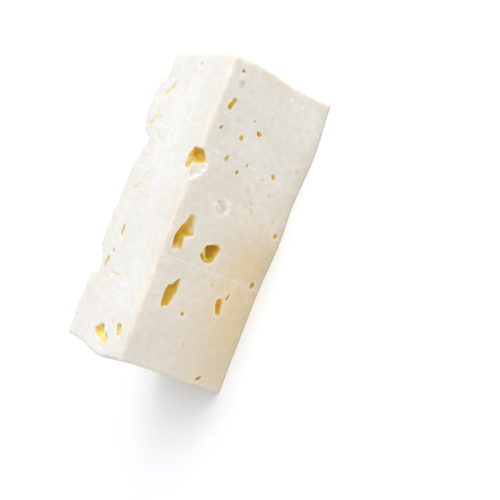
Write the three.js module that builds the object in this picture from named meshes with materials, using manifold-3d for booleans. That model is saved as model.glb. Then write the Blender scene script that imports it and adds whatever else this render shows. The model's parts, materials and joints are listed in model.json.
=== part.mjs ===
// A block of brined white cheese, cut nearly square in section, lying on one long side.
// Millimetres, +Z up. +X runs along the block, and the origin is under its middle, on the face it rests on.
// The front (-Y) and top (+Z) faces are cut. They meet in one crisp edge, and the larger eyes open in them.
// The back is broken rather than cut, so it is craggy, and its upper edge has two places where curd fell away.
import * as THREE from "three";
import { mergeVertices } from "three/addons/utils/BufferGeometryUtils.js";
import Module from "manifold-3d";

// Driving dimensions
const blockLength = 110;
const blockDepth = 46;
const blockHeight = 43;
const halfLength = blockLength / 2;
const frontY = -23.6; // the back swells more than the front, so the block sits a little ahead of the origin

// How finely the plain faces are divided, and how round their edges are
const cellSize = 3.4;
const edgeRadius = 1.1;
const brokenEdgeRadius = 1.5;

// Depth of the unevenness on the cut faces and on the broken back
const cutRelief = 0.22;
const brokenRelief = 1.3;
const reliefReach = 7; // how far in from a face its unevenness is felt

// Three marks left by the mould's cloth cross the front face. On the -X side of each it stands a little prouder.
const pressMarks = [
  { along: 23.5, step: 0.16 },
  { along: 20.4, step: 0.1 },
  { along: -17.2, step: 0.16 },
];
const markWidth = 0.5;

// A place on the block is given as along (from the middle of its length), inward (back from the front face)
// and down (below the top face). Smooth swells push the surface out around such a place, or in as a dent.
// Their reach is given the same three ways.
const swells = [
  { at: [40, 46, 3], push: [0, 4.6, 0], reach: [4.5, 9, 12] },
  { at: [34, 46, 3], push: [0, 3.2, 0], reach: [4.5, 9, 12] },
  { at: [28.5, 46, 3], push: [0, 3.4, 0], reach: [4.5, 9, 10] },
  { at: [51, 46, 2], push: [0, -1.6, 0], reach: [6, 9, 9] },
  { at: [-16, 46, 3], push: [0, 1.2, 0], reach: [9, 9, 9] },
  { at: [55, 2, 11], push: [2.1, 0, 0], reach: [12, 12, 12] },
  { at: [55, 10, 0], push: [1.5, 0, 0], reach: [9, 8, 8] },
  { at: [55, 24, 2], push: [1.4, 0, 0], reach: [13, 13, 13] },
  { at: [-55, 17, 2], push: [-2.1, 0, 0], reach: [10, 10, 10] },
  { at: [36, 0, 42], push: [0, -2.6, 0], reach: [16, 10, 10] },
  { at: [2, 0, 43], push: [0, -1.9, 0], reach: [12, 12, 12] },
];

// Eyes with a shape of their own. An outline is given in millimetres on its face, as [along, down] on the front,
// [along, inward] on the top, and on the edge as [from the eye's middle, down past the edge].
// lean shifts the floor of the eye from under its mouth, slope is how far the walls close in, and floor is the
// floor's share of the mouth. Tilt makes the floor deeper towards one side. Two of the eyes have ledges inside,
// so each is made of a shallow hollow and deeper ones. Their mouths differ, so that no two faces coincide.
const eyes = [
  {
    face: "front", // the angular one, widest of all: its ledges
    outline: [[0.8, 5.7], [0.5, 8], [-2.4, 8.9], [-6.4, 10.3], [-7, 8], [-7.9, 6.6], [-9.8, 6.9], [-12.9, 7.8],
      [-12.5, 6.1], [-13.1, 3.3], [-8.4, 2.7], [-4.9, 3.6], [-2, 5.1]],
    depth: 2.4,
    lean: [-0.2, -0.5],
    tilt: [0.1, 0],
    slope: 0.28,
    floor: 0.6,
  },
  {
    face: "front", // and its depth
    outline: [[-11.8, 4], [-8.4, 3], [-5, 3.9], [-2.3, 5.2], [-2.6, 7], [-3.4, 8.2], [-5.8, 9.5], [-6.5, 7.9],
      [-7.8, 6.1], [-9.8, 6.1], [-11.2, 5.4]],
    depth: 4.9,
    lean: [-0.2, -0.7],
    tilt: [0.1, -0.55],
    mouth: 1.7,
  },
  {
    face: "front", // the deep round one: its ledge
    outline: [[-7.6, 15.9], [-6.4, 18.5], [-6, 20.6], [-7.2, 22], [-9.4, 21.4], [-11.8, 21], [-13.3, 19.9],
      [-13.5, 17.8], [-12.6, 15.7], [-11.5, 15], [-9.7, 15.4]],
    depth: 2.2,
    tilt: [0.1, 0.2],
    slope: 0.2,
    floor: 0.7,
  },
  {
    face: "front", // its depth
    outline: [[-7.4, 17.2], [-6.3, 18.8], [-6.3, 20.5], [-7.4, 21.6], [-9.4, 21.1], [-11.7, 20.7], [-12.8, 19.9],
      [-12, 19], [-10.6, 18], [-9, 17.6]],
    depth: 6.2,
    lean: [0.4, 0.3],
    tilt: [0.5, 0.1],
    mouth: 1.7,
  },
  {
    face: "front", // and a pocket beside that
    outline: [[-9.9, 15.8], [-10.9, 16.8], [-12.2, 17.9], [-13, 19.2], [-13.2, 17.8], [-12.4, 16], [-11.4, 15.4]],
    depth: 3.4,
    slope: 0.2,
    mouth: 1.9,
  },
  {
    face: "front", // the long slit
    outline: [[-21.1, 11.1], [-23.6, 11.8], [-26.2, 11.7], [-29, 11.2], [-30.7, 10.5], [-31.8, 10.4], [-32.7, 7.6],
      [-30.3, 7.1], [-27, 7], [-24.8, 7.2], [-24.2, 8.9], [-22.7, 9.7]],
    depth: 3.9,
    lean: [-0.4, -0.8],
    tilt: [0, -0.2],
    slope: 0.2,
  },
  {
    face: "front", // the narrow slot
    outline: [[-23, 28.7], [-23.4, 30], [-25, 30.7], [-27.2, 31], [-28.6, 31.3], [-29.2, 30.4], [-28.8, 29.4],
      [-25.9, 28], [-24, 27.8]],
    depth: 2.1,
    tilt: [0, -0.3],
    slope: 0.2,
  },
  {
    face: "front",
    outline: [[42.4, 5], [42.1, 7.1], [41.2, 6.5], [40.2, 6.2], [39.2, 6], [38, 5.4], [38.6, 3.6], [39.7, 4.1],
      [40.9, 4.9]],
    depth: 1.8,
  },
  {
    face: "edge", // breaks through the crisp edge
    middle: 20,
    outline: [[2.7, -3.35], [2.3, 0.9], [0.55, 1.8], [-1.35, 2.1], [-2.7, 0.85], [-2.5, -1.55], [-1.55, -3.85],
      [0.55, -4.2]],
    depth: 7.5,
    lean: [0.3, 0],
    tilt: [0.35, 0],
  },
  {
    face: "top", // the shallow side of the eye above
    outline: [[20.8, 6.2], [19.5, 7.2], [16.2, 7.5], [14.7, 6.9], [14.5, 5.2], [15.5, 3.4], [17.8, 2.4], [20, 3.5]],
    depth: 3.8,
    lean: [1, -1],
    slope: 0.25,
    floor: 0.5,
  },
  {
    face: "top",
    outline: [[-45.1, 21.3], [-45.5, 18.4], [-47.8, 17.2], [-49.4, 19], [-49.4, 25], [-48.2, 25.4], [-46.5, 23.2]],
    depth: 2.2,
    slope: 0.25,
  },
  {
    face: "top",
    outline: [[-47.6, 18.4], [-47.4, 15], [-48.4, 13.2], [-50.5, 13.6], [-50.4, 16.4], [-49.2, 18.6]],
    depth: 1.8,
    slope: 0.25,
  },
  {
    face: "top",
    outline: [[-43.8, 10.9], [-43, 8.5], [-44.3, 6.6], [-46.6, 5.4], [-47.4, 8.3], [-45.6, 9.4]],
    depth: 1.6,
    slope: 0.25,
  },
];

// Small eyes, as [face, along, down or inward, length, width, turn in degrees]
const smallEyes = [
  ["front", 51, 4.9, 1.6, 1.5, 0], ["front", 31.9, 4.7, 1.8, 1.5, 20],
  ["front", 31.3, 13.7, 2, 1.7, 40], ["front", 34.9, 20, 1.9, 2.9, 10], ["front", 38, 16.4, 2.2, 1, 20],
  ["front", 22.6, 11.1, 2.6, 1.5, 0], ["front", 19.6, 16.9, 1.7, 1.6, 0], ["front", 23.2, 19.7, 2, 1.1, 30],
  ["front", 23.3, 31.3, 2.6, 1.6, -20], ["front", 3.9, 40.2, 2.2, 1.8, 0], ["front", -15, 39.4, 2.6, 1.9, 0],
  ["front", -52, 32.4, 4.6, 1.4, 40], ["front", -32.7, 16.8, 1.7, 1.8, 0], ["front", -22, 31.6, 4, 1, 12],
  ["top", 50.3, 21.5, 2, 1.3, 10], ["top", -13, 31.4, 5.2, 2, 10], ["top", -25.2, 34.2, 4, 2, -8],
  ["top", -20.9, 32.5, 1.6, 1.6, 0],
];
const smallEyeSides = 6;
const smallEyeDepth = { least: 0.4, share: 0.5 }; // in millimetres, and as a share of the eye's width

// The faces that are out of sight get eyes by a rule: a number, the shortest and the longest of them
const hiddenEyes = {
  back: { count: 7, shortest: 2, longest: 7 },
  bottom: { count: 5, shortest: 1.8, longest: 6 },
  highEnd: { count: 4, shortest: 1.6, longest: 5 },
  lowEnd: { count: 4, shortest: 1.6, longest: 5 },
};

// Curd that broke away, in the same form as the eyes
const breaks = [
  {
    face: "top", // the two notches in the broken edge
    outline: [[25, 50], [23.4, 43], [21.6, 37.8], [19.6, 38.6], [16.4, 41], [8, 44.6], [7, 50]],
    depth: 8,
    mouth: 4,
  },
  {
    face: "top",
    outline: [[-18, 50], [-21.6, 42.4], [-23.6, 38.6], [-28.4, 37], [-30.2, 38.2], [-31.2, 43], [-32, 50]],
    depth: 9,
    mouth: 4,
  },
  {
    face: "front", // the ledge under the eye in the crisp edge
    outline: [[20.9, -1.5], [20.8, 2.6], [19.6, 3.4], [19.2, 4.9], [17.9, 4.3], [16.6, 5], [15.6, 3.7], [14.4, 4.3],
      [13.6, 2.4], [12.4, 2], [11.8, 0.4], [12.4, -1.5]],
    depth: 1.5,
    tilt: [0.12, -0.3],
    slope: 0.1,
    floor: 0.8,
  },
  {
    face: "front", // a shallow crater
    outline: [[9.5, 15.5], [8.9, 17.4], [7.5, 19.4], [5.7, 19.8], [3.9, 18.9], [2.5, 16.4], [4.1, 15.1], [5.8, 13.4],
      [7.3, 12.9], [8.8, 13.8]],
    depth: 0.6,
    tilt: [0.05, -0.05],
    slope: 0.2,
    floor: 0.55,
  },
];
// Small chips out of the edges and one dimple, as [along, inward, down] and their three half sizes
const chips = [
  { at: [-26.5, -0.2, -0.4], size: [1.6, 1.1, 1.3] },
  { at: [46.8, -0.2, 6.2], size: [1.7, 1.3, 1.5] },
  { at: [56, 46, 20], size: [3, 4, 6] },
  { at: [-56.4, 47, 10], size: [3.4, 4, 7] },
  { at: [-38, 48, 44], size: [9, 4, 4] },
  { at: [30, 48.5, 45], size: [12, 5, 3.5] },
  { at: [57, 3, 45], size: [3, 4, 2.6] },
  { at: [-2, 49, 22], size: [10, 4.2, 7] },
];

const creamWhite = 0xf4f1e8;

const clamp = THREE.MathUtils.clamp;
const ease = (t) => THREE.MathUtils.smoothstep(t, 0, 1);
const place = (along, inward, down) =>
  new THREE.Vector3(along, frontY + inward, blockHeight - down);

// The same numbers from 0 to 1 at every run
function seededDraw(seed) {
  let state = seed;
  return () => {
    state = (state + 0x6d2b79f5) | 0;
    let mixed = Math.imul(state ^ (state >>> 15), 1 | state);
    mixed = (mixed + Math.imul(mixed ^ (mixed >>> 7), 61 | mixed)) ^ mixed;
    return ((mixed ^ (mixed >>> 14)) >>> 0) / 2 ** 32;
  };
}

// A fixed number from 0 to 1 for each corner of a cubic lattice
function latticeValue(i, j, k) {
  let mixed = Math.imul(i, 374761393) + Math.imul(j, 668265263) + Math.imul(k, 1274126177);
  mixed = Math.imul(mixed ^ (mixed >>> 13), 1103515245);
  return ((mixed ^ (mixed >>> 16)) >>> 0) / 2 ** 32;
}

// Smooth noise from 0 to 1 whose lumps are about size millimetres across
function lumps(point, size) {
  const scaled = point.clone().divideScalar(size);
  const base = scaled.clone().floor();
  const part = scaled.sub(base);
  let total = 0;
  for (let corner = 0; corner < 8; corner++) {
    const [i, j, k] = [corner & 1, (corner >> 1) & 1, corner >> 2];
    const weight =
      (i ? ease(part.x) : 1 - ease(part.x)) *
      (j ? ease(part.y) : 1 - ease(part.y)) *
      (k ? ease(part.z) : 1 - ease(part.z));
    total += weight * latticeValue(base.x + i, base.y + j, base.z + k);
  }
  return total;
}

// Where the grid lines of one side fall, closer together beside the edges and at the press marks
function stations(low, high, marks = []) {
  const inner = [low + edgeRadius, high - edgeRadius];
  const count = Math.round((inner[1] - inner[0]) / cellSize);
  const lines = [low, low + edgeRadius / 2, high - edgeRadius / 2, high];
  for (let n = 0; n <= count; n++) lines.push(inner[0] + ((inner[1] - inner[0]) * n) / count);
  const nearMark = (line) => marks.some((mark) => Math.abs(line - mark) < cellSize / 3);
  const kept = lines.filter((line) => !nearMark(line));
  for (const mark of marks) kept.push(mark - markWidth / 2, mark + markWidth / 2);
  return kept.sort((a, b) => a - b);
}

// 1 at the broken upper back edge, falling to 0 a few millimetres away from it
function nearBrokenEdge(point) {
  const fromBack = frontY + blockDepth - point.y;
  const fromTop = blockHeight - point.z;
  return 1 - ease(Math.hypot(fromBack, fromTop) / 9);
}

// Rounds the box's edges, the broken one most
function roundEdges(point) {
  const radius = THREE.MathUtils.lerp(edgeRadius, brokenEdgeRadius, nearBrokenEdge(point));
  const core = new THREE.Vector3(
    clamp(point.x, -halfLength + radius, halfLength - radius),
    clamp(point.y, frontY + radius, frontY + blockDepth - radius),
    clamp(point.z, radius, blockHeight - radius),
  );
  const outward = point.clone().sub(core);
  return outward.length() < 1e-6 ? point.clone() : core.add(outward.setLength(radius));
}

// The press marks: how much prouder the front face is at this height along the block
function pressStep(along) {
  return pressMarks.reduce((sum, mark) => sum + mark.step * ease((mark.along - along) / markWidth + 0.5), 0);
}

// The unevenness of each face. It reaches a few millimetres into the block, so that a face moves with its edges.
function roughen(point) {
  const depthOf = (distance) => 1 - ease(distance / reliefReach);
  const gentle = (at) => cutRelief * (lumps(at, 11) + 0.4 * lumps(at, 5));
  const craggy = (at) => brokenRelief * (lumps(at, 9) + 0.6 * lumps(at, 4.6));
  const onFront = new THREE.Vector3(point.x, frontY, point.z);
  const onBack = new THREE.Vector3(point.x, frontY + blockDepth, point.z);
  const onTop = new THREE.Vector3(point.x, point.y, blockHeight);
  const onEnd = new THREE.Vector3(Math.sign(point.x) * halfLength, point.y, point.z);
  const fromEnd = halfLength - Math.abs(point.x);
  const topDepth = THREE.MathUtils.lerp(gentle(onTop), craggy(onTop), 0.35 * nearBrokenEdge(point));
  const frontDepth = gentle(onFront) - pressStep(point.x) * ease(point.z / 6) * ease((blockHeight - point.z) / 4);
  return new THREE.Vector3(
    point.x - Math.sign(point.x) * gentle(onEnd) * depthOf(fromEnd),
    point.y + frontDepth * depthOf(point.y - frontY) - craggy(onBack) * depthOf(frontY + blockDepth - point.y),
    point.z - topDepth * depthOf(blockHeight - point.z),
  );
}

function swell(point) {
  const moved = point.clone();
  for (const bulge of swells) {
    const away = point.clone().sub(place(...bulge.at)).divide(new THREE.Vector3(...bulge.reach));
    moved.addScaledVector(new THREE.Vector3(...bulge.push), Math.exp(-away.lengthSq()));
  }
  return moved;
}

// The block without its eyes: a divided box, rounded, roughened and swollen
function blockGeometry() {
  const lines = [
    stations(-halfLength, halfLength, pressMarks.map((mark) => mark.along)),
    stations(frontY, frontY + blockDepth),
    stations(0, blockHeight),
  ];
  const counts = lines.map((list) => list.length - 1);
  const box = new THREE.BoxGeometry(1, 1, 1, ...counts);
  const position = box.getAttribute("position");
  for (let n = 0; n < position.count; n++) {
    const point = new THREE.Vector3().fromBufferAttribute(position, n).toArray();
    const flat = point.map((value, axis) => lines[axis][Math.round((value + 0.5) * counts[axis])]);
    const moved = swell(roughen(roundEdges(new THREE.Vector3(...flat))));
    position.setXYZ(n, moved.x, moved.y, moved.z);
  }
  return box;
}

// The three directions of each face: u and v lie in it, and w goes into the block
const along = new THREE.Vector3(1, 0, 0);
const inward = new THREE.Vector3(0, 1, 0);
const down = new THREE.Vector3(0, 0, -1);
const faces = {
  front: { u: along, v: down, w: inward, origin: place(0, 0, 0) },
  top: { u: along, v: inward, w: down, origin: place(0, 0, 0) },
  back: { u: along, v: down, w: inward.clone().negate(), origin: place(0, blockDepth, 0) },
  bottom: { u: along, v: inward, w: down.clone().negate(), origin: place(0, 0, blockHeight) },
  highEnd: { u: inward, v: down, w: along.clone().negate(), origin: place(halfLength, 0, 0) },
  lowEnd: { u: inward, v: down, w: along, origin: place(-halfLength, 0, 0) },
  edge: {
    u: along,
    v: down.clone().sub(inward).normalize(),
    w: down.clone().add(inward).normalize(),
    origin: place(0, 0, 0),
  },
};

// What a hollow has where nothing else is said. The mouth is how far its top stands clear of the face.
const plainHollow = { lean: [0, 0], tilt: [0, 0], slope: 0.14, floor: 0.44, mouth: 1.4, middle: 0 };

// A hollow with the outline as its mouth, which narrows to a rounded floor
function hollowGeometry(hollow) {
  const { face, outline, depth, lean, tilt, slope, floor, mouth, middle } = { ...plainHollow, ...hollow };
  const shape = new THREE.Shape(outline.map(([a, b]) => new THREE.Vector2(a, b)));
  const centre = outline.reduce((sum, [a, b]) => sum.add(new THREE.Vector2(a, b)), new THREE.Vector2());
  centre.divideScalar(outline.length);
  const steps = depth > 2.5 ? 4 : 3;
  const solid = new THREE.ExtrudeGeometry(shape, { depth: 1, steps, bevelEnabled: false });
  const position = solid.getAttribute("position");
  for (let n = 0; n < position.count; n++) {
    const ring = Math.round(position.getZ(n) * steps);
    const share = Math.max(0, (ring - 1) / (steps - 1)); // 0 at the mouth, 1 at the floor
    const narrowing = 1 - slope * share - (1 - slope - floor) * share ** 4;
    const a = (position.getX(n) - centre.x) * narrowing;
    const b = (position.getY(n) - centre.y) * narrowing;
    const level = ring === 0 ? -mouth : depth * share ** 0.8 + share * (tilt[0] * a + tilt[1] * b);
    position.setXYZ(n, centre.x + a + lean[0] * share, centre.y + b + lean[1] * share, level);
  }
  const { u, v, w, origin } = faces[face];
  const matrix = new THREE.Matrix4().makeBasis(u, v, w);
  matrix.setPosition(origin.clone().addScaledVector(u, middle));
  return { geometry: solid, matrix };
}

// An uneven outline with few sides, for a small eye
function smallOutline(u, v, longWay, shortWay, turn, draw) {
  const points = [];
  for (let n = 0; n < smallEyeSides; n++) {
    const angle = ((n + 0.5 * draw()) / smallEyeSides) * 2 * Math.PI;
    const stretch = 0.34 + 0.32 * draw();
    const local = new THREE.Vector2(Math.cos(angle) * longWay * stretch, Math.sin(angle) * shortWay * stretch);
    local.rotateAround(new THREE.Vector2(), THREE.MathUtils.degToRad(turn));
    points.push([u + local.x, v + local.y]);
  }
  return points;
}

function smallHollow(face, u, v, longWay, shortWay, turn, draw) {
  const outline = smallOutline(u, v, longWay, shortWay, turn, draw);
  return hollowGeometry({ face, outline, depth: smallEyeDepth.least + smallEyeDepth.share * shortWay });
}

// Eyes scattered over a hidden face, kept clear of its edges and of each other
function scatteredHollows(face, rule, draw) {
  const isEnd = face.endsWith("End");
  const margin = 5;
  const width = isEnd ? blockDepth : blockLength;
  const startU = isEnd ? margin : -halfLength + margin;
  const placed = [];
  while (placed.length < rule.count) {
    const longWay = rule.shortest + (rule.longest - rule.shortest) * draw() ** 2;
    const u = startU + (width - 2 * margin) * draw();
    const v = margin + (blockHeight - 2 * margin) * draw();
    const turn = 180 * draw();
    const free = placed.every((other) => Math.hypot(other.u - u, other.v - v) > other.longWay + longWay);
    if (free) placed.push({ u, v, longWay, shortWay: longWay * (0.4 + 0.4 * draw()), turn });
  }
  return placed.map((eye) => smallHollow(face, eye.u, eye.v, eye.longWay, eye.shortWay, eye.turn, draw));
}

// A lump with flat facets, for a chip out of an edge
function chipGeometry({ at, size }, draw) {
  const lump = new THREE.IcosahedronGeometry(1, 1);
  lump.deleteAttribute("normal");
  lump.deleteAttribute("uv");
  const merged = mergeVertices(lump, 1e-4);
  const position = merged.getAttribute("position");
  for (let n = 0; n < position.count; n++) {
    const stretch = 0.86 + 0.22 * draw();
    position.setXYZ(n, position.getX(n) * stretch, position.getY(n) * stretch, position.getZ(n) * stretch);
  }
  const matrix = new THREE.Matrix4().makeScale(...size);
  return { geometry: merged, matrix: matrix.premultiply(new THREE.Matrix4().setPosition(place(...at))) };
}

const wasm = await Module();
wasm.setup();

// A closed geometry as a solid that can be cut. The swells carry what is cut into the block along with it.
function solidFrom({ geometry, matrix }, carried = true) {
  const bare = geometry.clone();
  for (const name of ["normal", "uv"]) bare.deleteAttribute(name);
  if (matrix) bare.applyMatrix4(matrix);
  const merged = mergeVertices(bare, 1e-4);
  const position = merged.getAttribute("position");
  if (carried) {
    for (let n = 0; n < position.count; n++) {
      const moved = swell(new THREE.Vector3().fromBufferAttribute(position, n));
      position.setXYZ(n, moved.x, moved.y, moved.z);
    }
  }
  const triVerts = new Uint32Array(merged.index.array);
  if (matrix && matrix.determinant() < 0) {
    for (let n = 0; n < triVerts.length; n += 3) {
      [triVerts[n + 1], triVerts[n + 2]] = [triVerts[n + 2], triVerts[n + 1]];
    }
  }
  return new wasm.Manifold(new wasm.Mesh({ numProp: 3, vertProperties: position.array, triVerts }));
}

function cheeseBlock() {
  const draw = seededDraw(7);
  const cutters = [
    ...eyes.map((eye) => hollowGeometry(eye)),
    ...smallEyes.map(([face, ...sizes]) => smallHollow(face, ...sizes, draw)),
    ...Object.entries(hiddenEyes).flatMap(([face, rule]) => scatteredHollows(face, rule, draw)),
    ...breaks.map((piece) => hollowGeometry(piece)),
    ...chips.map((chip) => chipGeometry(chip, draw)),
  ];
  let solid = solidFrom({ geometry: blockGeometry() }, false);
  for (const cutter of cutters) solid = solid.subtract(solidFrom(cutter));
  const { numProp, numVert, vertProperties, triVerts } = solid.getMesh();
  const corners = new Float32Array(numVert * 3);
  for (let n = 0; n < numVert; n++) {
    corners.set(vertProperties.subarray(n * numProp, n * numProp + 3), n * 3);
  }
  const geometry = new THREE.BufferGeometry();
  geometry.setAttribute("position", new THREE.BufferAttribute(corners, 3));
  geometry.setIndex(new THREE.BufferAttribute(new Uint32Array(triVerts), 1));
  geometry.computeVertexNormals();
  return geometry;
}

const material = new THREE.MeshStandardMaterial({ color: creamWhite, roughness: 0.55, metalness: 0 });
const block = new THREE.Mesh(cheeseBlock(), material);
block.name = "cheese_block";

const cheese = new THREE.Group();
cheese.add(block);

export default cheese;
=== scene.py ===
# Brined white cheese: one cut bar with golden eyes, lying on a long side.
# Its form is worked out in millimetres and ends up in the frame's metres.
import itertools
import json
import math

import bmesh
import bpy
import numpy as np
from mathutils import Matrix, Vector
from mathutils.bvhtree import BVHTree

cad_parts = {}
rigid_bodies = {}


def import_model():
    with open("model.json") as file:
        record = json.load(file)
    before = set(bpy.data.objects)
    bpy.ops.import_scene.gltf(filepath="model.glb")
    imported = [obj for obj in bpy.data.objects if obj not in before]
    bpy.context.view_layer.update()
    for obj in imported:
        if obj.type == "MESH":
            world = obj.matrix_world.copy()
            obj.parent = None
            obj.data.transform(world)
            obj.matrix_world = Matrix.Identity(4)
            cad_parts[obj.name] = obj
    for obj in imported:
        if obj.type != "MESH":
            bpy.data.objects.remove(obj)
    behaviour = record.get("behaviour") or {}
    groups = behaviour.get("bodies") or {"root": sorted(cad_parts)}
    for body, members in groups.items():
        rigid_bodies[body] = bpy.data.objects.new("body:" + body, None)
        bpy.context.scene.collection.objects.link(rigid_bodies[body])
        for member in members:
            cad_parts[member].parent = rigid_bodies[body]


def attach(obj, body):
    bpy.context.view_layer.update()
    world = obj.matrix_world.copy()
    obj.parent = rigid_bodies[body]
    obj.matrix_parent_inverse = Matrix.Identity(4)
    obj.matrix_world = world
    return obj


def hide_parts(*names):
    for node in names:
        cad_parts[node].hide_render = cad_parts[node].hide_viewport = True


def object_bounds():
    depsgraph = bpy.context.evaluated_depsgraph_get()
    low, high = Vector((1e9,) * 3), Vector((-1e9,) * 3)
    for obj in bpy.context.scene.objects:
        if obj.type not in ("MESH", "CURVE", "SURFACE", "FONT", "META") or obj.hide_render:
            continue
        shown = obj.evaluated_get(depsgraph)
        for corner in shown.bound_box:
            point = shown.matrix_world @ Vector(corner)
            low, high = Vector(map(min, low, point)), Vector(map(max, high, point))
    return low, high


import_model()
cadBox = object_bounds()
mm = 0.001
scene = bpy.context.scene
print("frame loaded")

bar = {
    "length": 110, "depth": 46, "height": 43,
    "frontY": -23.6,      # the cut front face; the back swells more, so the bar sits a little ahead
    "cutEdge": 0.35, "cutSteps": 3,         # rounding of the cut edges, and the facets across it
    "brokenEdge": 1.5, "brokenSteps": 5,    # the same for the broken edge, at the top of the back
    "sharp": 60,          # degrees that a crisp edge turns at least
    "voxel": 0.33,        # grain of the finished surface
    "triangles": 190000,
    "boxGap": 0.02,       # kept between the finished surface and the box of the solid
}
halfLength = bar["length"] / 2

# depths from which a point counts as in an eye: for its colour, the gold with its painted shade, for the
# curd's grain and for the eye's rim
inEye = {"goldAndPaintedLight": 0.1, "grain": 0.2, "rim": 0.3}


def place(along, inward, down):
    # a point by how far along, how far in from the front face and how far below the top face
    return Vector((along, bar["frontY"] + inward, bar["height"] - down))


alongWay = Vector((1, 0, 0))
inwardWay = Vector((0, 1, 0))
downWay = Vector((0, 0, -1))

# each face has two ways that lie in it, the way into the bar, and where they start
faces = {
    "front": (alongWay, downWay, inwardWay, place(0, 0, 0)),
    "top": (alongWay, inwardWay, downWay, place(0, 0, 0)),
    "back": (alongWay, downWay, -inwardWay, place(0, bar["depth"], 0)),
    "bottom": (alongWay, inwardWay, -downWay, place(0, 0, bar["height"])),
    "highEnd": (inwardWay, downWay, -alongWay, place(halfLength, 0, 0)),
    "lowEnd": (inwardWay, downWay, alongWay, place(-halfLength, 0, 0)),
    "edge": (
        alongWay,
        (downWay - inwardWay).normalized(),
        (downWay + inwardWay).normalized(),
        place(0, 0, 0),
    ),
}

# what a hollow has where nothing else is said
plainHollow = {
    "lean": (0, 0),    # how far its floor is shifted from under its mouth
    "tilt": (0, 0),    # how much deeper its floor gets, for each millimetre across
    "slope": 0.14,     # how far its walls close in
    "floor": 0.44,     # the floor's share of the mouth
    "bend": 4,         # how late its walls turn in to the floor
    "plunge": 0.8,     # below 1, its first steps down are the tallest
    "mouth": 1.4,      # how far its top stands clear of the face
    "middle": 0,       # where along the bar its outline is measured from
}

# outlines are [along, down] on the front, [along, inward] on the top,
# and [from the eye's middle, down past the edge] on the edge
eyes = [
    {   # the angular one, widest of all: its ledges
        "face": "front", "depth": 2.4, "lean": (-0.2, -0.5), "tilt": (0.1, 0), "slope": 0.28, "floor": 0.6,
        "outline": [(0.8, 5.7), (0.5, 8), (-2.4, 8.9), (-6.4, 10.3), (-7, 8), (-7.9, 6.6), (-9.8, 6.9),
                    (-12.9, 7.8), (-12.5, 6.1), (-13.1, 3.3), (-8.4, 2.7), (-4.9, 3.6), (-2, 5.1)],
    },
    {   # and its depth
        "face": "front", "depth": 4.9, "lean": (-0.2, -0.7), "tilt": (0.1, -0.55), "mouth": 1.7,
        "outline": [(-11.8, 4), (-8.4, 3), (-5, 3.9), (-2.3, 5.2), (-2.6, 7), (-3.4, 8.2), (-5.8, 9.5),
                    (-6.5, 7.9), (-7.8, 6.1), (-9.8, 6.1), (-11.2, 5.4)],
    },
    {   # the deep round one: its ledge
        "face": "front", "depth": 2.2, "tilt": (0.1, 0.2), "slope": 0.2, "floor": 0.7,
        "outline": [(-7.6, 15.9), (-6.4, 18.5), (-6, 20.6), (-7.2, 22), (-9.4, 21.4), (-11.8, 21),
                    (-13.3, 19.9), (-13.5, 17.8), (-12.6, 15.7), (-11.5, 15), (-9.7, 15.4)],
    },
    {   # its depth
        "face": "front", "depth": 6.2, "lean": (0.4, 0.3), "tilt": (0.5, 0.1), "mouth": 1.7,
        "outline": [(-7.4, 17.2), (-6.3, 18.8), (-6.3, 20.5), (-7.4, 21.6), (-9.4, 21.1), (-11.7, 20.7),
                    (-12.8, 19.9), (-12, 19), (-10.6, 18), (-9, 17.6)],
    },
    {   # and a pocket beside that
        "face": "front", "depth": 3.4, "slope": 0.2, "mouth": 1.9,
        "outline": [(-9.9, 15.8), (-10.9, 16.8), (-12.2, 17.9), (-13, 19.2), (-13.2, 17.8), (-12.4, 16),
                    (-11.4, 15.4)],
    },
    {   # the long slit
        "face": "front", "depth": 3.9, "lean": (-0.4, -0.8), "tilt": (0, -0.2), "slope": 0.2,
        "outline": [(-21.1, 11.1), (-23.6, 11.8), (-26.2, 11.7), (-29, 11.2), (-30.7, 10.5), (-31.8, 10.4),
                    (-32.7, 7.6), (-30.3, 7.1), (-27, 7), (-24.8, 7.2), (-24.2, 8.9), (-22.7, 9.7)],
    },
    {   # the narrow slot
        "face": "front", "depth": 2.1, "tilt": (0, -0.3), "slope": 0.2,
        "outline": [(-23, 28.7), (-23.4, 30), (-25, 30.7), (-27.2, 31), (-28.6, 31.3), (-29.2, 30.4),
                    (-28.8, 29.4), (-25.9, 28), (-24, 27.8)],
    },
    {   # the small slot near the high end
        "face": "front", "depth": 1.8,
        "outline": [(42.4, 5), (42.1, 7.1), (41.2, 6.5), (40.2, 6.2), (39.2, 6), (38, 5.4), (38.6, 3.6),
                    (39.7, 4.1), (40.9, 4.9)],
    },
    {   # breaks through the crisp edge
        "face": "edge", "middle": 20, "depth": 7.5, "lean": (0.3, 0), "tilt": (0.35, 0),
        "outline": [(2.7, -3.35), (2.3, 0.9), (0.55, 1.8), (-1.35, 2.1), (-2.7, 0.85), (-2.5, -1.55),
                    (-1.55, -3.85), (0.55, -4.2)],
    },
    {   # the shallow side of the eye above
        "face": "top", "depth": 3.8, "lean": (1, -1), "slope": 0.25, "floor": 0.5,
        "outline": [(20.8, 6.2), (19.5, 7.2), (16.2, 7.5), (14.7, 6.9), (14.5, 5.2), (15.5, 3.4), (17.8, 2.4),
                    (20, 3.5)],
    },
    {   # two that meet in the top, near the low end, and one beside them
        "face": "top", "depth": 2.2, "slope": 0.25,
        "outline": [(-45.1, 21.3), (-45.5, 18.4), (-47.8, 17.2), (-49.4, 19), (-49.4, 25), (-48.2, 25.4),
                    (-46.5, 23.2)],
    },
    {
        "face": "top", "depth": 1.8, "slope": 0.25,
        "outline": [(-47.6, 18.4), (-47.4, 15), (-48.4, 13.2), (-50.5, 13.6), (-50.4, 16.4), (-49.2, 18.6)],
    },
    {
        "face": "top", "depth": 1.6, "slope": 0.25,
        "outline": [(-43.8, 10.9), (-43, 8.5), (-44.3, 6.6), (-46.6, 5.4), (-47.4, 8.3), (-45.6, 9.4)],
    },
]

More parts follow.
